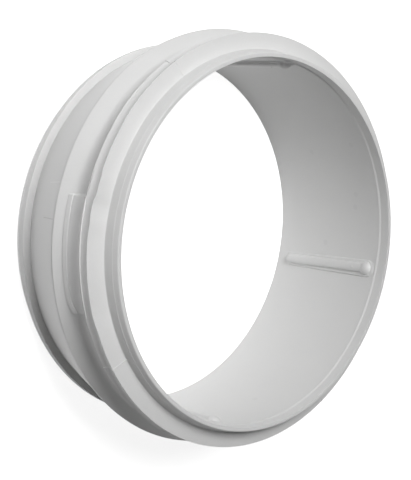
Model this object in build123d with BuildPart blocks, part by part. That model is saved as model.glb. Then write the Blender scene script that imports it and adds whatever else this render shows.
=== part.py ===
# Duct collar ring: one moulded ring that grips the end of a round duct.
# Sizes are in millimetres. The ring stands on its rear rim, its axis along +Z,
# with the spigot at the top, called the front here.
import os
from math import asin, atan2, cos, hypot, sin, sqrt

from build123d import *

# Duct and bore
duct_diameter = 153.0
rib_squeeze = 0.2
rib_height = 1.9
rib_count = 4
bore_radius = duct_diameter / 2 - rib_squeeze + rib_height

# Lengths along the axis
depth = 68.0
spigot_length = 6.9
flange_fall = 1.1
lip_width = 5.5
groove_width = 15.8
ridge_width = 1.3
bead_length = 9.5
bead_fall = 0.5
mouth_length = 4.5
tail_rise = 6.0

# Thicknesses, measured outward from the bore
mouth_wall = 0.3
rim_wall = 2.1
step_wall = 2.8
spigot_wall = 3.3
flange_wall = 10.4
lip_rise = 0.1
groove_wall = 6.5
ridge_wall = 12.0
channel_wall = 11.3
crease_wall = 2.1
bead_wall = 5.5
tail_wall = 1.6

# Small forms
rim_chamfer = 0.5
step_depth = 2.8
step_height = 0.25
foot_chamfer = 0.5
lip_hollow = 0.7
groove_round = 6.8
bead_taper = 0.4
mouth_bead = 0.15
mouth_bead_rise = 0.9
mouth_bead_run = 0.9
rear_chamfer = 0.3

# Infill block that closes part of the groove, as angles in degrees and offsets from the lip
block_start = 178.7
block_span = 30.8
block_dip = 2.6
block_fall = 1.8
block_crest = 10.2
block_length = 12.1

# Ribs, their domed front ends and the pads that they stand on
rib_rear_gap = 5.7
rib_foot = 3.8
rib_crest = 2.4
rib_edge = 0.4
dome_gap = 10.9
dome_radius = 3.7
dome_sink = 1.2
pad_height = 0.5
pad_rear_width = 6.3
pad_front_width = 7.9
pad_front_gap = 6.1
wall_overlap = 1.0

# Heights of the main edges, counted down from the front rim
foot_z = depth - spigot_length
lip_front_z = foot_z - flange_fall
lip_back_z = lip_front_z - lip_width
ridge_front_z = lip_back_z - groove_width
ridge_back_z = ridge_front_z - ridge_width
crease_z = bead_length + bead_fall
mouth_z = depth - mouth_length

# Radii of the main edges
mouth_radius = bore_radius + mouth_wall
rim_radius = bore_radius + rim_wall
step_radius = bore_radius + step_wall
lip_front_radius = bore_radius + flange_wall
lip_back_radius = lip_front_radius + lip_rise
groove_radius = bore_radius + groove_wall
ridge_radius = bore_radius + ridge_wall
bead_radius = bore_radius + bead_wall

# The groove's floor is an arc that starts at the lip and runs into a cone up to the ridge
groove_centre_r = groove_radius + groove_round
groove_centre_z = lip_back_z - sqrt(groove_round**2 - (groove_centre_r - lip_back_radius) ** 2)
reach_r = groove_centre_r - ridge_radius
reach_z = groove_centre_z - ridge_front_z
cone_reach = hypot(reach_r, reach_z)
cone_angle = atan2(reach_z, reach_r) + asin(groove_round / cone_reach)
cone_length = sqrt(cone_reach**2 - groove_round**2)
cone_start_r = ridge_radius + cone_length * cos(cone_angle)
cone_start_z = ridge_front_z + cone_length * sin(cone_angle)


def cone_radius(z):
    """Radius of the groove's rear cone at height z."""
    share = (z - ridge_front_z) / (cone_start_z - ridge_front_z)
    return ridge_radius + share * (cone_start_r - ridge_radius)


# One rib with its pad: the pad is a tapered strip with a round front end, and follows the bore
pad_end_z = depth - pad_front_gap - pad_front_width / 2
with BuildPart() as rib:
    with BuildSketch(Plane.YZ.offset(bore_radius - rib_height)):
        with BuildLine():
            Polyline(
                (pad_front_width / 2, pad_end_z),
                (pad_rear_width / 2, rib_rear_gap),
                (-pad_rear_width / 2, rib_rear_gap),
                (-pad_front_width / 2, pad_end_z),
            )
            RadiusArc((-pad_front_width / 2, pad_end_z), (pad_front_width / 2, pad_end_z), pad_front_width / 2)
        make_face()
    extrude(amount=rib_height + wall_overlap)
    with BuildSketch():
        Circle(bore_radius + wall_overlap)
        Circle(bore_radius - pad_height, mode=Mode.SUBTRACT)
    extrude(amount=depth, mode=Mode.INTERSECT)

    # The bar is a low trapezoid with eased edges
    with BuildSketch(Plane.XY.offset(rib_rear_gap)):
        with BuildLine():
            Polyline(
                (bore_radius + wall_overlap, -rib_foot / 2),
                (bore_radius, -rib_foot / 2),
                (bore_radius - rib_height, -rib_crest / 2),
                (bore_radius - rib_height, rib_crest / 2),
                (bore_radius, rib_foot / 2),
                (bore_radius + wall_overlap, rib_foot / 2),
                close=True,
            )
        make_face()
    extrude(amount=depth - dome_gap - rib_rear_gap)
    fillet(edges().filter_by(Axis.Z).group_by(Axis.X)[0], rib_edge)

    # The bar runs into a dome
    with Locations((bore_radius + dome_sink, 0, depth - dome_gap)):
        Sphere(dome_radius)

with BuildPart() as duct_collar:
    # The ring's own section, revolved
    with BuildSketch(Plane.XZ) as section:
        with BuildLine():
            # Bore side, from the rear rim up past a fine bead to the wider mouth
            Polyline(
                (bore_radius + rear_chamfer, 0),
                (bore_radius, rear_chamfer),
                (bore_radius, mouth_z - mouth_bead_rise - mouth_bead_run),
                (bore_radius - mouth_bead, mouth_z - mouth_bead_rise),
                (mouth_radius, mouth_z),
                (mouth_radius, depth),
            )
            # Front rim, and the spigot out to the flange's edge
            Polyline(
                (mouth_radius, depth),
                (rim_radius - rim_chamfer, depth),
                (rim_radius, depth - rim_chamfer),
                (step_radius - step_height, depth - step_depth),
                (step_radius, depth - step_depth),
                (bore_radius + spigot_wall, foot_z + foot_chamfer),
                (bore_radius + spigot_wall + foot_chamfer, foot_z),
                (lip_front_radius, lip_front_z),
            )
            # Lip with a shallow hollow between its two sharp edges
            ThreePointArc(
                (lip_front_radius, lip_front_z),
                (lip_front_radius - lip_hollow, (lip_front_z + lip_back_z) / 2),
                (lip_back_radius, lip_back_z),
            )
            # Groove
            ThreePointArc(
                (lip_back_radius, lip_back_z),
                (groove_radius, groove_centre_z),
                (cone_start_r, cone_start_z),
            )
            # Cone, ridge, channel, and the rear bead with its tapered tail
            Polyline(
                (cone_start_r, cone_start_z),
                (ridge_radius, ridge_front_z),
                (ridge_radius, ridge_back_z),
                (bore_radius + channel_wall, ridge_back_z),
                (bore_radius + crease_wall, crease_z),
                (bead_radius, bead_length),
                (bead_radius - bead_taper, tail_rise),
                (bore_radius + tail_wall, 0),
                (bore_radius + rear_chamfer, 0),
            )
        make_face()
    revolve(axis=Axis.Z)

    # Infill block: a hollow face that starts at the lip, then a narrow land down to the cone
    block_root = groove_radius - groove_wall / 2
    block_end_z = lip_back_z - block_length
    with BuildSketch(Plane.XZ.rotated((0, 0, block_start))):
        with BuildLine():
            ThreePointArc(
                (lip_back_radius, lip_back_z),
                (lip_back_radius - block_dip, lip_back_z - block_crest / 2),
                (lip_back_radius - block_fall, lip_back_z - block_crest),
            )
            Polyline(
                (lip_back_radius - block_fall, lip_back_z - block_crest),
                (cone_radius(block_end_z), block_end_z),
                (block_root, block_end_z),
                (block_root, lip_back_z),
                (lip_back_radius, lip_back_z),
            )
        make_face()
    revolve(axis=Axis.Z, revolution_arc=block_span)

    # Ribs
    with PolarLocations(0, rib_count):
        add(rib.part)

os.makedirs("parts", exist_ok=True)
duct_collar.part.label = "duct_collar"
export_step(duct_collar.part, "parts/duct_collar.step")

print(f"bore {2 * bore_radius:.1f} mm, across the ribs {2 * (bore_radius - rib_height):.1f} mm")
print(f"outside {2 * ridge_radius:.1f} mm, depth {depth:.1f} mm, section {section.sketch.area:.0f} mm2")
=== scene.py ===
# %% [markdown]
# # Duct collar ring
# One moulded plastic ring, photographed on white. It slips over the end of a round duct: four ribs
# inside grip the pipe, the lip and groove outside hold a strap or a wall plate, and the long
# tapered channel ends in a bead. In this file the ring stands on its rear rim, its axis along Z,
# and every size is in millimetres until it is handed to Blender, which works in metres.

# %% Frame
import bpy
from math import acos, asin, atan2, cos, degrees, hypot, pi, radians, sin, sqrt
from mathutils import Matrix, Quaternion, Vector


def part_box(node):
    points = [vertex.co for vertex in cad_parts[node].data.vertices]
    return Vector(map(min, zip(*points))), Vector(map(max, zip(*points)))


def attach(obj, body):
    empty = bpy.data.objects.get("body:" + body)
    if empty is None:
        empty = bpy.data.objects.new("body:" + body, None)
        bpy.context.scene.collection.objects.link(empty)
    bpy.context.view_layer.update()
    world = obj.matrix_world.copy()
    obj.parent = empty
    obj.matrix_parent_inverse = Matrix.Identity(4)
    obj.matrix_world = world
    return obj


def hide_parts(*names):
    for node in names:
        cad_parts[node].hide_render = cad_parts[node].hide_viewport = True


MM = 0.001
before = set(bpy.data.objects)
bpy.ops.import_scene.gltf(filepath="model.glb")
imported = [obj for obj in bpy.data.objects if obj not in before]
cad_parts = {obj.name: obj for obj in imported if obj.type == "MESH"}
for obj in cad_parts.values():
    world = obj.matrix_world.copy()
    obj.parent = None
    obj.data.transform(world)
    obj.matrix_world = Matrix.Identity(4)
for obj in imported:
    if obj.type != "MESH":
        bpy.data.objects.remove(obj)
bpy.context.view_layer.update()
ring_high = Vector(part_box("duct_collar")[1]) / MM
DEPTH = ring_high.z
RIDGE = ring_high.x
print(f"the ring is {2 * RIDGE:.1f} mm across and {DEPTH:.1f} mm deep")

# %% [markdown]
# ## Camera
# The camera comes first, so that every form can be held against the photograph. The ring is
# photographed lying over on its side, while here it stands on its rear rim. So the camera looks
# down on its front from one side and is rolled until the picture lies the same way.

# %% Camera
EYE = Vector((-433.67, -29.37, 500.22)) * MM
AIM = Vector((-3.43, -2.49, 34.0)) * MM
ROLL = radians(98.72)
LENS = 108.75

camera_data = bpy.data.cameras.new("camera")
camera_data.lens = LENS
camera_data.sensor_width = 36.0
camera_data.clip_start = 0.01
camera = bpy.data.objects.new("camera", camera_data)
bpy.context.scene.collection.objects.link(camera)
camera.location = EYE
camera.rotation_mode = "QUATERNION"
camera.rotation_quaternion = (AIM - EYE).to_track_quat("-Z", "Y") @ Quaternion((0, 0, 1), ROLL)
bpy.context.scene.camera = camera
print(f"the camera stands {(EYE - AIM).length / MM:.0f} mm from the ring")

# %% [markdown]
# ## Sizes
# The bore is the ring's one working size, so every wall is measured outward from it, and every
# length is counted from the front rim, which faces the camera.

# %% Sizes
BORE = 78.2
FRONT = DEPTH
FOOT = FRONT - 6.9
LIP_FRONT = FRONT - 8.0
LIP_BACK = FRONT - 13.5
RIDGE_FRONT = FRONT - 29.3
RIDGE_BACK = FRONT - 30.6
CREASE = 10.0
BEAD_TOP = 9.5
LIP = BORE + 10.4
LIP_HOLLOW = 0.9
GROOVE = BORE + 6.5
GROOVE_ROUND = 6.8


def point(radius, height):
    """A point of the ring's section, in the plane y = 0."""
    return Vector((radius, 0, height)) * MM


def arc(centre, radius, start, end, steps):
    """Points along an arc of the section, from one angle to another."""
    angles = [start + (end - start) * i / steps for i in range(steps + 1)]
    return [point(centre[0] + radius * cos(a), centre[1] + radius * sin(a)) for a in angles]


def turned(radius, turn, height):
    """A place on the ring, given by its radius, its angle in degrees and its height."""
    return Vector((radius * cos(radians(turn)), radius * sin(radians(turn)), height)) * MM


# %% [markdown]
# ## Tools
# Short functions do the repeated work. A chain is a line of points drawn by extruding one vertex
# again and again, as a person draws a section by hand. A corner is eased by bevelling its vertex
# before the chain is spun, so the soft edge runs round the whole ring. Points are always selected
# by where they stand, never by their number, so a step still works when the one before it changes.

# %% Tools
MERGE = 0.001 * MM
NEAR = 0.01


def chain(name, points):
    """A piece that is a closed line of points, drawn by extruding one vertex."""
    bpy.ops.object.select_all(action="DESELECT")
    bpy.ops.mesh.primitive_plane_add(size=MM)
    piece = bpy.context.active_object
    piece.name = name
    bpy.ops.object.mode_set(mode="EDIT")
    bpy.ops.mesh.select_all(action="SELECT")
    bpy.ops.mesh.merge(type="CENTER")
    bpy.ops.transform.translate(value=points[0])
    for here, there in zip(points, points[1:] + points[:1]):
        bpy.ops.mesh.extrude_vertices_move(TRANSFORM_OT_translate={"value": there - here})
    bpy.ops.mesh.select_all(action="SELECT")
    bpy.ops.mesh.remove_doubles(threshold=MERGE)
    bpy.ops.object.mode_set(mode="OBJECT")
    return piece


def pick(piece, wanted):
    """Selects the piece's points whose place in mm is wanted, and stays in edit mode."""
    bpy.ops.object.mode_set(mode="OBJECT")
    bpy.ops.object.select_all(action="DESELECT")
    bpy.context.view_layer.objects.active = piece
    piece.select_set(True)
    bpy.ops.object.mode_set(mode="EDIT")
    bpy.ops.mesh.select_mode(type="VERT")
    bpy.ops.mesh.select_all(action="DESELECT")
    bpy.ops.object.mode_set(mode="OBJECT")
    for vertex in piece.data.vertices:
        vertex.select = wanted(vertex.co / MM)
    bpy.ops.object.mode_set(mode="EDIT")


def ease(piece, corners, size, segments=3):
    """Rounds the vertices that stand at these corners."""
    pick(piece, lambda place: any((place - corner / MM).length < NEAR for corner in corners))
    bpy.ops.mesh.bevel(affect="VERTICES", offset=size * MM, segments=segments)
    bpy.ops.object.mode_set(mode="OBJECT")


def spin(piece, angle, steps, fill=False):
    """Turns the chain about the ring's axis, as a solid of the chain's face where fill is set."""
    bpy.ops.object.mode_set(mode="EDIT")
    bpy.ops.mesh.select_all(action="SELECT")
    if fill:
        bpy.ops.mesh.edge_face_add()
    bpy.ops.mesh.spin(steps=steps, angle=-angle, center=(0, 0, 0), axis=(0, 0, 1))
    bpy.ops.mesh.select_all(action="SELECT")
    bpy.ops.mesh.remove_doubles(threshold=MERGE)
    bpy.ops.mesh.normals_make_consistent(inside=False)
    bpy.ops.object.mode_set(mode="OBJECT")


def raise_face(value):
    """Makes the chain a face and pulls it up into a solid."""
    bpy.ops.object.mode_set(mode="EDIT")
    bpy.ops.mesh.select_all(action="SELECT")
    bpy.ops.mesh.edge_face_add()
    bpy.ops.mesh.extrude_region_move(TRANSFORM_OT_translate={"value": Vector(value) * MM})
    bpy.ops.mesh.select_all(action="SELECT")
    bpy.ops.mesh.normals_make_consistent(inside=False)
    bpy.ops.object.mode_set(mode="OBJECT")


def turn_to(piece, turn):
    """Turns a piece about the ring's axis by an angle in degrees, and applies the turn."""
    bpy.ops.object.mode_set(mode="OBJECT")
    bpy.ops.object.select_all(action="DESELECT")
    bpy.context.view_layer.objects.active = piece
    piece.select_set(True)
    piece.rotation_euler.z = radians(turn)
    bpy.ops.object.transform_apply(location=True, rotation=True, scale=True)


def boolean(piece, other, operation):
    """Joins or cuts a piece with another, which is used up."""
    bpy.ops.object.select_all(action="DESELECT")
    bpy.context.view_layer.objects.active = piece
    piece.select_set(True)
    cut = piece.modifiers.new("cut", "BOOLEAN")
    cut.operation = operation
    cut.solver = "EXACT"
    cut.object = other
    bpy.ops.object.modifier_apply(modifier="cut")
    bpy.data.objects.remove(other)


# %% [markdown]
# ## The ring's section
# The real ring is injection moulded, and nearly all of it is one section turned about the axis.
# So the section is drawn once, as a chain of points, and spun. The groove is an arc that runs
# tangent into the cone behind it. Its start and end angles come from where it meets the lip and
# the cone, so it stays tangent if a size changes.

# %% Section
LIP_REAR = LIP + 0.1

groove_r = GROOVE + GROOVE_ROUND
groove_z = LIP_BACK - sqrt(GROOVE_ROUND**2 - (groove_r - LIP_REAR) ** 2)
ridge_reach = hypot(groove_r - RIDGE, groove_z - RIDGE_FRONT)
cone_angle = atan2(groove_z - RIDGE_FRONT, groove_r - RIDGE) + asin(GROOVE_ROUND / ridge_reach)
groove_start = pi - acos((groove_r - LIP_REAR) / GROOVE_ROUND)
groove_end = cone_angle + pi / 2
hollow_half = (LIP_FRONT - LIP_BACK) / 2
hollow_round = (hollow_half**2 + LIP_HOLLOW**2) / (2 * LIP_HOLLOW)
hollow_angle = asin(hollow_half / hollow_round)

rear_rim = [point(BORE - 0.2, 0), point(BORE + 1.6, 0)]
mouth = [
    point(BORE, 6.0),
    point(BORE, FRONT - 11.05),
    point(BORE - 0.1, FRONT - 10.75),
    point(BORE, FRONT - 8.5),
    point(BORE, FRONT - 6.3),
    point(BORE - 0.15, FRONT - 5.4),
    point(BORE + 0.3, FRONT - 4.5),
    point(BORE + 0.3, FRONT),
]
rim = [point(BORE + 2.1, FRONT)]
spigot = [
    point(BORE + 2.6, FRONT - 2.75),
    point(BORE + 2.75, FRONT - 2.85),
    point(BORE + 3.3, FOOT),
]
lip = arc(
    (LIP - LIP_HOLLOW + hollow_round, (LIP_FRONT + LIP_BACK) / 2),
    hollow_round, pi - hollow_angle, pi + hollow_angle, 8,
)
groove = arc((groove_r, groove_z), GROOVE_ROUND, groove_start, groove_end, 20)
ridge = [
    point(RIDGE, RIDGE_FRONT),
    point(RIDGE - 0.35, RIDGE_FRONT - 0.25),
    point(RIDGE - 0.3, RIDGE_BACK),
    point(BORE + 11.3, RIDGE_BACK),
]
crease = [point(BORE + 2.1, CREASE)]
bead = [
    point(BORE + 5.5, BEAD_TOP),
    point(BORE + 5.15, 6.1),
    point(BORE + 4.6, 5.95),
    point(BORE + 4.5, 5.2),
]

bore_side = rear_rim[:1] + mouth + rim
outside = spigot + lip + groove[1:] + ridge + crease + bead + rear_rim[1:]
collar = chain("collar", bore_side + outside)
print(f"the section has {len(collar.data.vertices)} points before its corners are eased")

# %% [markdown]
# ## Eased corners
# A mould has no knife edges, so each corner gets the small round that the photograph shows: widest
# at the rim, less at the spigot's foot and along the bead, and almost none at the lip. Each call
# names the corners, the width of the round in mm and the number of its faces.

# %% Eased corners
ease(collar, rim, 0.45, 4)
ease(collar, [spigot[0], spigot[1], mouth[-1]], 0.1, 2)
ease(collar, [mouth[-3], mouth[-2]], 0.2, 3)
ease(collar, [mouth[0]], 0.6, 3)
ease(collar, [spigot[2]], 0.35, 4)
ease(collar, [lip[0], lip[-1]], 0.12, 3)
ease(collar, ridge, 0.1, 3)
ease(collar, [*crease, bead[0], rear_rim[1]], 0.3)
ease(collar, bead[1:], 0.1, 2)
ease(collar, [rear_rim[0]], 0.08, 2)
spin(collar, 2 * pi, 360)
print(f"the spun ring has {len(collar.data.polygons)} faces")

# %% [markdown]
# ## The lip's wander
# On the real ring the lip isn't quite true. Beside the block it swings forward, then back, and it
# stays back along the block: the plastic shrank most where it is thickest. Proportional editing is
# the tool for such a soft push, because it carries the faces around the lip along with it.

# %% The lip's wander
# Angle and half width in degrees, shift and reach in mm
WANDER = [
    (175.5, 1.5, 0.5, 5.0),
    (182.0, 1.5, -0.75, 5.0),
    (199.0, 10.0, -0.85, 9.0),
    (152.0, 3.0, -0.3, 9.0),
]


def off_turn(place, turn):
    """How far a place lies from an angle round the ring's axis, in degrees from 0 to 180."""
    return abs((degrees(atan2(place.y, place.x)) - turn + 180) % 360 - 180)


def on_lip(place):
    """Whether a place lies on the lip, between its two edges."""
    return hypot(place.x, place.y) > LIP - 1 and LIP_BACK - 0.4 < place.z < LIP_FRONT + 0.2


def push_lip(turn, half, shift, reach):
    """Pushes a stretch of the lip along the axis, and softly what lies within reach of it."""
    pick(collar, lambda place: on_lip(place) and off_turn(place, turn) <= half)
    bpy.ops.transform.translate(
        value=(0, 0, shift * MM),
        use_proportional_edit=True,
        use_proportional_connected=True,
        proportional_edit_falloff="SMOOTH",
        proportional_size=reach * MM,
    )
    bpy.ops.object.mode_set(mode="OBJECT")


for stretch in WANDER:
    push_lip(*stretch)
lip_heights = [v.co.z / MM for v in collar.data.vertices if on_lip(v.co / MM)]
print(f"the lip now lies between {min(lip_heights):.1f} and {max(lip_heights):.1f} mm")

# %% [markdown]
# ## Block in the groove
# A short stretch of the groove is filled in, with a hollow face under the lip and a narrow raised
# land along its rear. It is drawn and spun as the ring is. Its first end is a steep ramp: the end
# face is extruded once more and pressed down below the groove's floor. At its other end the outer
# corner is drawn in, again with proportional editing.

# %% Block
BLOCK_START = 177.2
BLOCK_SPAN = 33.1
BLOCK_RAMP = 1.5
BLOCK_ROOT = GROOVE - 3
RAMP_FLAT = 0.4
CORNER_PULL = (-0.6, 1.8)
CORNER_REACH = 8

block_face = [
    point(LIP_REAR, LIP_BACK),
    point(LIP - 0.85, LIP_BACK - 1.2),
    point(LIP - 1.65, LIP_BACK - 2.5),
    point(LIP - 2.2, LIP_BACK - 3.8),
    point(LIP - 2.5, LIP_BACK - 5.1),
    point(LIP - 2.5, LIP_BACK - 6.5),
    point(LIP - 2.35, LIP_BACK - 7.9),
    point(LIP - 2.0, LIP_BACK - 9.1),
    point(LIP - 1.65, LIP_BACK - 10.05),
    point(LIP - 1.75, LIP_BACK - 10.25),
    point(LIP - 1.35, LIP_BACK - 10.4),
    point(LIP - 0.75, LIP_BACK - 12.0),
    point(BLOCK_ROOT, LIP_BACK - 12.1),
    point(BLOCK_ROOT, LIP_BACK),
]
full_span = BLOCK_SPAN - BLOCK_RAMP
ramp_step = turned(GROOVE, -BLOCK_RAMP, 0) - turned(GROOVE, 0, 0)

block = chain("block", block_face)
spin(block, radians(full_span), 40, fill=True)
pick(block, lambda place: off_turn(place, 0) < 0.1)
bpy.ops.mesh.extrude_region_move(TRANSFORM_OT_translate={"value": ramp_step})
bpy.ops.transform.resize(value=(RAMP_FLAT, 1, 1), center_override=point(BLOCK_ROOT, 0))
pick(block, lambda place: off_turn(place, full_span) < 0.1 and place.z < LIP_BACK - 10.2)
bpy.ops.transform.translate(
    value=turned(CORNER_PULL[0], BLOCK_SPAN, CORNER_PULL[1]),
    use_proportional_edit=True,
    proportional_edit_falloff="SHARP",
    proportional_size=CORNER_REACH * MM,
)
bpy.ops.mesh.select_all(action="SELECT")
bpy.ops.mesh.normals_make_consistent(inside=False)
turn_to(block, BLOCK_START + BLOCK_RAMP)
print(f"the block has {len(block.data.polygons)} faces")

# %% [markdown]
# ## The fill that leads up to the block
# Above the block the groove's front wall is filled a little, in a strip that starts at nothing and
# widens down to the block. It is a thin wedge, spun along the groove. Then each of its sections is
# scaled towards the lip, more and more towards its thin end.

# %% Fill
FILL_START = 147.0
FILL_END = BLOCK_START + BLOCK_RAMP + 0.6
FILL_DEPTH = 4.1
FILL_ROOT = 1.5
FILL_STEPS = 32
THIN_END = 0.05

fill_z = LIP_BACK - FILL_DEPTH
fill_r = groove_r - sqrt(GROOVE_ROUND**2 - (groove_z - fill_z) ** 2)
fill = chain("fill", [
    point(LIP - 0.05, LIP_BACK - 0.1),
    point(fill_r + 0.1, fill_z),
    point(fill_r - FILL_ROOT, fill_z - 0.1),
    point(fill_r - FILL_ROOT, LIP_BACK),
])
fill_span = FILL_END - FILL_START
spin(fill, radians(fill_span), FILL_STEPS, fill=True)
for step in range(FILL_STEPS):
    turn = fill_span * step / FILL_STEPS
    share = THIN_END + (1 - THIN_END) * step / FILL_STEPS
    pick(fill, lambda place: off_turn(place, turn) < 0.1)
    bpy.ops.transform.resize(value=[share] * 3, center_override=turned(LIP, turn, LIP_BACK))
turn_to(fill, FILL_START)
fill_low = min(v.co.z for v in fill.data.vertices) / MM
print(f"the fill has {len(fill.data.polygons)} faces and reaches down to {fill_low:.1f} mm")
boolean(collar, fill, "UNION")
boolean(collar, block, "UNION")

# %% [markdown]
# ## Ribs
# Each rib is a low half-round bar that ends in a dome, on a pad that follows the bore. One is made
# from a plate, a bar and balls, and turned to its place. The plate widens outward, so its edge
# slopes, and the bore's own cylinder is taken out of it, so its face has the bore's curve. The
# section's numbers are height above the bore and half the width there. One rib leans a little.

# %% Ribs
RIB_REAR = 5.7
RIB_HEIGHT = 1.9
RIB_LEAN = 0.9
RIB_SECTION = [
    (-0.8, 2.35), (0.4, 2.3), (1.05, 2.15), (1.5, 1.8), (1.75, 1.3), (1.87, 0.7), (1.9, 0.0),
]
REAR_BALL = 2.35
DOME = FRONT - 10.9
DOME_RADIUS = 3.7
DOME_SINK = 1.2
NUB_RADIUS = 0.4
NUB_GAP = 7.1
PAD_FRONT = FRONT - 6.1
PAD_HEIGHT = 0.5
PAD_FACE = BORE - 0.9
PAD_THICKNESS = 1.7
PAD_WIDE = 3.45
PAD_NARROW = 2.75
PAD_STEP = 1.6
PAD_SPREAD = (1, 1.36, 1.115)


def make_pad():
    """The plate that a rib stands on, with a round front end and sloped edges."""
    round_z = PAD_FRONT - PAD_STEP - PAD_WIDE
    outline = [
        Vector((PAD_FACE, -PAD_NARROW, RIB_REAR + 3.6)),
        Vector((PAD_FACE, PAD_NARROW, RIB_REAR + 1.8)),
    ]
    for angle in (radians(12 * i) for i in range(16)):
        outline.append(Vector((PAD_FACE, PAD_WIDE * cos(angle), round_z + PAD_WIDE * sin(angle))))
    pad = chain("pad", [p * MM for p in outline])
    raise_face((PAD_THICKNESS, 0, 0))
    pick(pad, lambda place: place.x > BORE)
    bpy.ops.transform.resize(value=PAD_SPREAD, center_override=point(BORE, FRONT / 2))
    bpy.ops.object.mode_set(mode="OBJECT")
    bpy.ops.object.select_all(action="DESELECT")
    bpy.ops.mesh.primitive_cylinder_add(
        vertices=720,
        radius=(BORE - PAD_HEIGHT) * MM,
        depth=2 * FRONT * MM,
        location=(0, 0, FRONT / 2 * MM),
    )
    boolean(pad, bpy.context.active_object, "DIFFERENCE")
    return pad


def make_bar():
    """The bar with its rear end, its dome and its nub."""
    halves = [(-half, rise) for rise, half in RIB_SECTION]
    halves += [(half, rise) for rise, half in RIB_SECTION[-2::-1]]
    bar_start = RIB_REAR + REAR_BALL
    bar = chain("bar", [Vector((BORE - rise, half, bar_start)) * MM for half, rise in halves])
    raise_face((0, 0, DOME - RIB_REAR - REAR_BALL))
    balls = [
        (DOME_RADIUS, (BORE + DOME_SINK, 0, DOME)),
        (REAR_BALL, (BORE - RIB_HEIGHT + REAR_BALL, 0, bar_start)),
        (NUB_RADIUS, (BORE - RIB_HEIGHT + 0.1, -0.1, DOME - NUB_GAP)),
    ]
    for radius, centre in balls:
        bpy.ops.object.select_all(action="DESELECT")
        bpy.ops.mesh.primitive_uv_sphere_add(
            segments=48, ring_count=24, radius=radius * MM, location=Vector(centre) * MM
        )
        boolean(bar, bpy.context.active_object, "UNION")
    return bar


ribs = []
for quarter in range(4):
    pad = make_pad()
    rib = make_bar()
    boolean(rib, pad, "UNION")
    if quarter == 0:
        bpy.ops.object.mode_set(mode="EDIT")
        bpy.ops.mesh.select_all(action="SELECT")
        bpy.ops.transform.rotate(
            value=radians(RIB_LEAN), orient_axis="X", center_override=point(BORE, RIB_REAR)
        )
        bpy.ops.object.mode_set(mode="OBJECT")
        front_y = max(v.co.y for v in rib.data.vertices) / MM
        print(f"the leaning rib's front end stands at y = {front_y:.1f} mm")
    turn_to(rib, 90 * quarter)
    ribs.append(rib)
print(f"each rib has {len(ribs[0].data.polygons)} faces")
for rib in ribs:
    boolean(collar, rib, "UNION")

# %% [markdown]
# ## Parting lines
# The mould's outer half is made of four quarters, and where two of them meet the plastic creeps
# between them. That leaves a fine ridge over the flange and the lip, with a nib at each sharp edge,
# and another over the rear bead. Each ridge is a thin plate that stands a tenth of a millimetre
# proud, halfway between two ribs.

# %% Parting lines
FLASH_WIDTH = 0.24
FLASH_TURNS = [45, 135, 225, 315]

front_flash = [
    point(BORE + 3.35, FOOT + 0.4),
    point(BORE + 4.2, FOOT + 0.05),
    point(LIP - 0.1, LIP_FRONT + 0.13),
    point(LIP + 0.28, LIP_FRONT + 0.12),
    point(LIP + 0.15, LIP_FRONT - 0.3),
    point(LIP - 0.45, LIP_FRONT - 1.1),
    point(LIP - 0.78, LIP_FRONT - 2.5),
    point(LIP - 0.5, LIP_FRONT - 4.0),
    point(LIP + 0.2, LIP_BACK + 0.4),
    point(LIP + 0.38, LIP_BACK - 0.05),
    point(LIP - 0.5, LIP_BACK - 0.5),
    point(LIP - 3, LIP_BACK + 1),
    point(BORE + 2, FOOT - 2),
]
rear_flash = [
    point(BORE + 5.6, BEAD_TOP + 0.08),
    point(BORE + 5.68, BEAD_TOP - 0.3),
    point(BORE + 5.25, 6.1),
    point(BORE + 4.65, 5.2),
    point(BORE + 1.75, 0.1),
    point(BORE + 0.8, 0.2),
    point(BORE + 2.5, BEAD_TOP - 1),
]
for turn in FLASH_TURNS:
    for line in (front_flash, rear_flash):
        flash = chain("flash", [p - Vector((0, FLASH_WIDTH / 2, 0)) * MM for p in line])
        raise_face((0, FLASH_WIDTH, 0))
        turn_to(flash, turn)
        boolean(collar, flash, "UNION")
print(f"with its parting lines the ring has {len(collar.data.polygons)} faces")

# %% [markdown]
# ## Clean shading
# Every flat or turned face has to look flat up to its eased corners. Weighted normals do that: a
# corner's normal follows the widest face beside it, and the small eased faces take up the turn.

# %% Clean shading
bpy.ops.object.mode_set(mode="EDIT")
bpy.ops.mesh.select_all(action="SELECT")
bpy.ops.mesh.remove_doubles(threshold=0.002 * MM)
bpy.ops.mesh.normals_make_consistent(inside=False)
bpy.ops.object.mode_set(mode="OBJECT")
bpy.ops.object.select_all(action="DESELECT")
collar.select_set(True)
bpy.context.view_layer.objects.active = collar
bpy.ops.object.shade_smooth_by_angle(angle=radians(35))
weighted = collar.modifiers.new("weighted", "WEIGHTED_NORMAL")
weighted.keep_sharp = True
bpy.ops.object.modifier_apply(modifier="weighted")
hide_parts("duct_collar")
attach(collar, "root")
print(f"the joined ring has {len(collar.data.polygons)} faces")

# %% [markdown]
# ## Moulded skin
# The plastic is pale grey with a soft sheen. It isn't perfectly even: the melt flowed in swirls, so
# the tone drifts a little over some centimetres, and the mould's spark-eroded face leaves a grain
# that is finer than a millimetre. A shader node group makes both from noise, so that its scales and
# strengths can be set by name where it is used.

# %% Moulded skin
def new_group(name, numbers, vectors, outputs):
    """A shader node group with named inputs and outputs."""
    group = bpy.data.node_groups.new(name, "ShaderNodeTree")
    for socket, value in vectors.items():
        made = group.interface.new_socket(
            name=socket, in_out="INPUT", socket_type="NodeSocketVector"
        )
        made.default_value = value
    for socket, value in numbers.items():
        made = group.interface.new_socket(
            name=socket, in_out="INPUT", socket_type="NodeSocketFloat"
        )
        made.default_value = value
    for socket in outputs:
        group.interface.new_socket(name=socket, in_out="OUTPUT", socket_type="NodeSocketFloat")
    return group, group.nodes.new("NodeGroupInput"), group.nodes.new("NodeGroupOutput")


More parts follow.
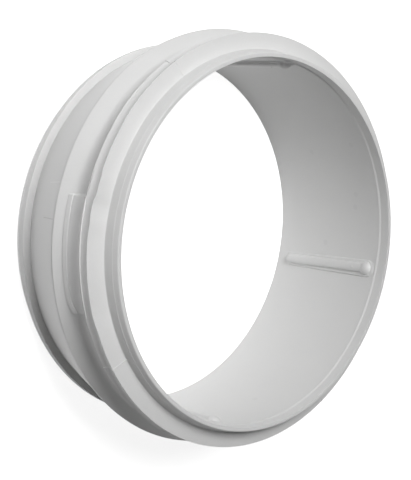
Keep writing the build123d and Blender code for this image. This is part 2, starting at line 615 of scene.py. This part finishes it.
def math(tree, operation, first, second=None):
    """A math node; each of its inputs is a number or another node's output."""
    node = tree.nodes.new("ShaderNodeMath")
    node.operation = operation
    for socket, value in zip(node.inputs, (first, second)):
        if isinstance(value, (int, float)):
            socket.default_value = value
        elif value is not None:
            tree.links.new(value, socket)
    return node.outputs[0]


def noise(tree, place, scale, detail):
    """Noise round zero, from about -0.5 to 0.5."""
    node = tree.nodes.new("ShaderNodeTexNoise")
    node.inputs["Detail"].default_value = detail
    tree.links.new(place, node.inputs["Vector"])
    tree.links.new(scale, node.inputs["Scale"])
    return math(tree, "SUBTRACT", node.outputs["Fac"], 0.5)


skin, skin_in, skin_out = new_group(
    "moulded skin",
    {"Drift Scale": 28.0, "Grain Scale": 1500.0, "Drift": 0.05, "Speckle": 0.03},
    {"Place": (0, 0, 0)},
    ["Tone", "Gloss", "Grain"],
)
drift = noise(skin, skin_in.outputs["Place"], skin_in.outputs["Drift Scale"], 3)
grain = noise(skin, skin_in.outputs["Place"], skin_in.outputs["Grain Scale"], 2)
slow_tone = math(skin, "MULTIPLY", drift, skin_in.outputs["Drift"])
fine_tone = math(skin, "MULTIPLY", grain, skin_in.outputs["Speckle"])
skin.links.new(math(skin, "ADD", slow_tone, fine_tone), skin_out.inputs["Tone"])
skin.links.new(drift, skin_out.inputs["Gloss"])
skin.links.new(grain, skin_out.inputs["Grain"])
print(f"the skin group has {len(skin.nodes)} nodes")

# %% [markdown]
# ## Marks from the mould
# Inside the bore there are faint round prints, as ejector pins leave them, and on the channel two
# short lines, as a mould's vents do. Both are masks made from the place on the ring: a round mark
# is a distance from a point, and a short line is a narrow band at one angle, between two heights.
# A mask only says where; the material decides what it does there.

# %% Marks from the mould
round_mark, round_in, round_out = new_group(
    "round mark", {"Size": 0.00125}, {"Place": (0, 0, 0), "Centre": (0, 0, 0)}, ["Mask"]
)
away = round_mark.nodes.new("ShaderNodeVectorMath")
away.operation = "DISTANCE"
round_mark.links.new(round_in.outputs["Place"], away.inputs[0])
round_mark.links.new(round_in.outputs["Centre"], away.inputs[1])
ratio = math(round_mark, "DIVIDE", away.outputs["Value"], round_in.outputs["Size"])
edge_mask = round_mark.nodes.new("ShaderNodeMapRange")
edge_mask.interpolation_type = "SMOOTHSTEP"
edge_mask.inputs["From Min"].default_value = 1.2
edge_mask.inputs["From Max"].default_value = 0.8
round_mark.links.new(ratio, edge_mask.inputs["Value"])
round_mark.links.new(edge_mask.outputs["Result"], round_out.inputs["Mask"])

line_mark, line_in, line_out = new_group(
    "line mark",
    {"Turn": 0.0, "Width": 0.0003, "Low": 0.0, "High": 0.01, "Radius": 0.08},
    {"Place": (0, 0, 0)},
    ["Mask"],
)
turn_back = line_mark.nodes.new("ShaderNodeVectorRotate")
turn_back.rotation_type = "Z_AXIS"
line_mark.links.new(line_in.outputs["Place"], turn_back.inputs["Vector"])
back_angle = math(line_mark, "MULTIPLY", line_in.outputs["Turn"], -1.0)
line_mark.links.new(back_angle, turn_back.inputs["Angle"])
split = line_mark.nodes.new("ShaderNodeSeparateXYZ")
line_mark.links.new(turn_back.outputs["Vector"], split.inputs["Vector"])
beside = math(line_mark, "ABSOLUTE", split.outputs["Y"])
beside = math(line_mark, "DIVIDE", beside, line_in.outputs["Width"])
narrow = line_mark.nodes.new("ShaderNodeMapRange")
narrow.interpolation_type = "SMOOTHSTEP"
narrow.inputs["From Min"].default_value = 0.8
narrow.inputs["From Max"].default_value = 0.3
line_mark.links.new(beside, narrow.inputs["Value"])
above = math(line_mark, "GREATER_THAN", split.outputs["Z"], line_in.outputs["Low"])
below = math(line_mark, "LESS_THAN", split.outputs["Z"], line_in.outputs["High"])
beyond = math(line_mark, "GREATER_THAN", split.outputs["X"], line_in.outputs["Radius"])
band = math(line_mark, "MULTIPLY", math(line_mark, "MULTIPLY", above, below), beyond)
band = math(line_mark, "MULTIPLY", narrow.outputs["Result"], band)
line_mark.links.new(band, line_out.inputs["Mask"])
print("round marks and line marks are ready")

# %% [markdown]
# ## The ring's plastic
# The shader is a Principled BSDF with a little subsurface scattering, because light soaks into pale
# plastic and softens the shade in the lip and the groove. Tone and marks go into its colour, the
# drift into its roughness, and grain and the two lines into a bump.
# The two lines on the channel are painted in the colour too: the paler one is a painted highlight
# and the darker one is painted shade.

# %% The ring's plastic
PLASTIC = 0.8
SHEEN = 0.46
SHEEN_DRIFT = 0.12
PRINT_DARKER = 0.03
LINE_DEPTH = 40
# Angle in degrees, and distance from the front rim in mm
PIN_PRINTS = [(40.1, 42.0), (44.2, 15.0), (25.6, 19.0), (21.1, 20.0), (7.5, 38.5), (300.1, 27.0)]
# Angle in degrees, lower and upper end in mm, and how much paler the line is painted: above zero a
# painted highlight on a raised line, below zero painted shade in a sunken one, and the same number
# sets the line's height in the bump
VENT_LINES_AND_PAINTED_LIGHT = [(176.0, 25.0, 36.6, 0.07), (185.7, 25.0, 36.6, -0.14)]

material = bpy.data.materials.new("moulding")
material.use_nodes = True
tree = material.node_tree
shader = tree.nodes["Principled BSDF"]
shader.inputs["Subsurface Weight"].default_value = 0.12
shader.inputs["Subsurface Radius"].default_value = (1, 1, 1)
shader.inputs["Subsurface Scale"].default_value = 0.002
place = tree.nodes.new("ShaderNodeTexCoord").outputs["Object"]


def use(group, **values):
    """Places a group in the ring's material, with its own values."""
    node = tree.nodes.new("ShaderNodeGroup")
    node.node_tree = group
    tree.links.new(place, node.inputs["Place"])
    for name, value in values.items():
        node.inputs[name].default_value = value
    return node


plastic_skin = use(skin)
colour = math(tree, "ADD", plastic_skin.outputs["Tone"], PLASTIC)
height = plastic_skin.outputs["Grain"]
for turn, depth_in in PIN_PRINTS:
    mark = use(round_mark, Centre=turned(BORE, turn, FRONT - depth_in)).outputs["Mask"]
    colour = math(tree, "SUBTRACT", colour, math(tree, "MULTIPLY", mark, PRINT_DARKER))
for turn, low, high, relief_and_painted_light in VENT_LINES_AND_PAINTED_LIGHT:
    mark = use(
        line_mark,
        Turn=radians(turn),
        Width=0.35 * MM,
        Low=low * MM,
        High=high * MM,
        Radius=(BORE + 2) * MM,
    ).outputs["Mask"]
    # The paler line gets a painted highlight and the darker line gets painted shade, on top of
    # their bump
    colour = math(tree, "ADD", colour, math(tree, "MULTIPLY", mark, relief_and_painted_light))
    height = math(tree, "ADD", height, math(tree, "MULTIPLY", mark, LINE_DEPTH * relief_and_painted_light))
grey = tree.nodes.new("ShaderNodeCombineColor")
tree.links.new(colour, grey.inputs["Red"])
tree.links.new(colour, grey.inputs["Green"])
tree.links.new(math(tree, "MULTIPLY", colour, 0.995), grey.inputs["Blue"])
tree.links.new(grey.outputs["Color"], shader.inputs["Base Color"])
sheen = math(tree, "MULTIPLY", plastic_skin.outputs["Gloss"], SHEEN_DRIFT)
tree.links.new(math(tree, "ADD", sheen, SHEEN), shader.inputs["Roughness"])
bump = tree.nodes.new("ShaderNodeBump")
bump.inputs["Strength"].default_value = 0.25
bump.inputs["Distance"].default_value = 0.02 * MM
tree.links.new(height, bump.inputs["Height"])
tree.links.new(bump.outputs["Normal"], shader.inputs["Normal"])
collar.data.materials.append(material)
print(f"the plastic has {len(tree.nodes)} nodes")

# %% [markdown]
# ## Floor
# The ring stands on a plain pale floor that runs out of the picture. The camera sees it as white:
# it glows for camera, glossy and transmitted rays only, so that the glow lights nothing, and the
# ring's soft shadow on it stays. The world behind it is white for the same rays.

# %% Floor
bpy.ops.object.select_all(action="DESELECT")
bpy.ops.mesh.primitive_plane_add(size=8, location=(0, 0, 0))
floor = bpy.context.active_object
floor.name = "floor"
floor_material = bpy.data.materials.new("floor")
floor_material.use_nodes = True
floor_tree = floor_material.node_tree
pale = floor_tree.nodes["Principled BSDF"]
pale.inputs["Base Color"].default_value = (0.8, 0.8, 0.8, 1)
pale.inputs["Roughness"].default_value = 0.9
glow = floor_tree.nodes.new("ShaderNodeEmission")
glow.inputs["Strength"].default_value = 0.85
lit = floor_tree.nodes.new("ShaderNodeAddShader")
seen = floor_tree.nodes.new("ShaderNodeMixShader")


def seen_rays(tree):
    """1 for the rays that show the background, and 0 for those that light the ring."""
    path = tree.nodes.new("ShaderNodeLightPath")
    rays = math(tree, "MAXIMUM", path.outputs["Is Camera Ray"], path.outputs["Is Glossy Ray"])
    return math(tree, "MAXIMUM", rays, path.outputs["Is Transmission Ray"])


floor_tree.links.new(pale.outputs[0], lit.inputs[0])
floor_tree.links.new(glow.outputs[0], lit.inputs[1])
floor_tree.links.new(seen_rays(floor_tree), seen.inputs[0])
floor_tree.links.new(pale.outputs[0], seen.inputs[1])
floor_tree.links.new(lit.outputs[0], seen.inputs[2])
floor_tree.links.new(seen.outputs[0], floor_tree.nodes["Material Output"].inputs["Surface"])
floor.data.materials.append(floor_material)
print("the floor is 8 m wide")

# %% [markdown]
# ## Light
# One soft lamp lights the ring from in front, a little above and to the right in the picture, and a
# weaker one from above fills its shadows. They are disks, as softboxes are, so no shadow has a hard
# edge. All other light on the ring comes back from the pale floor, as in a white photo tent.

# %% Light
# The picture's own directions in the ring's frame. Each lamp has its share of right, up and
# towards the camera, its size in metres and its power in watts.
PICTURE_RIGHT = Vector((0.715, 0.197, 0.671))
PICTURE_UP = Vector((-0.173, 0.980, -0.103))
TO_CAMERA = Vector((-0.678, -0.042, 0.734))
LAMP_REACH = 1.2
LAMPS = [("softbox", 0.4, 0.3, 0.85, 0.6, 10.7), ("top light", 0.0, 0.7, 0.7, 1.0, 1.1)]

for name, to_right, up, towards, size, watts in LAMPS:
    lamp_data = bpy.data.lights.new(name, "AREA")
    lamp_data.shape = "DISK"
    lamp_data.size = size
    lamp_data.energy = watts
    lamp = bpy.data.objects.new(name, lamp_data)
    bpy.context.scene.collection.objects.link(lamp)
    direction = (PICTURE_RIGHT * to_right + PICTURE_UP * up + TO_CAMERA * towards).normalized()
    lamp.location = Vector((0, 0, FRONT / 2)) * MM + direction * LAMP_REACH
    lamp.rotation_mode = "QUATERNION"
    lamp.rotation_quaternion = direction.to_track_quat("Z", "Y")
world = bpy.data.worlds.new("world")
bpy.context.scene.world = world
world.use_nodes = True
backdrop = world.node_tree.nodes["Background"]
backdrop.inputs["Color"].default_value = (1, 1, 1, 1)
world.node_tree.links.new(seen_rays(world.node_tree), backdrop.inputs["Strength"])
bpy.context.scene.view_settings.view_transform = "Standard"
print(f"{len(LAMPS)} lamps, {LAMP_REACH} m away")
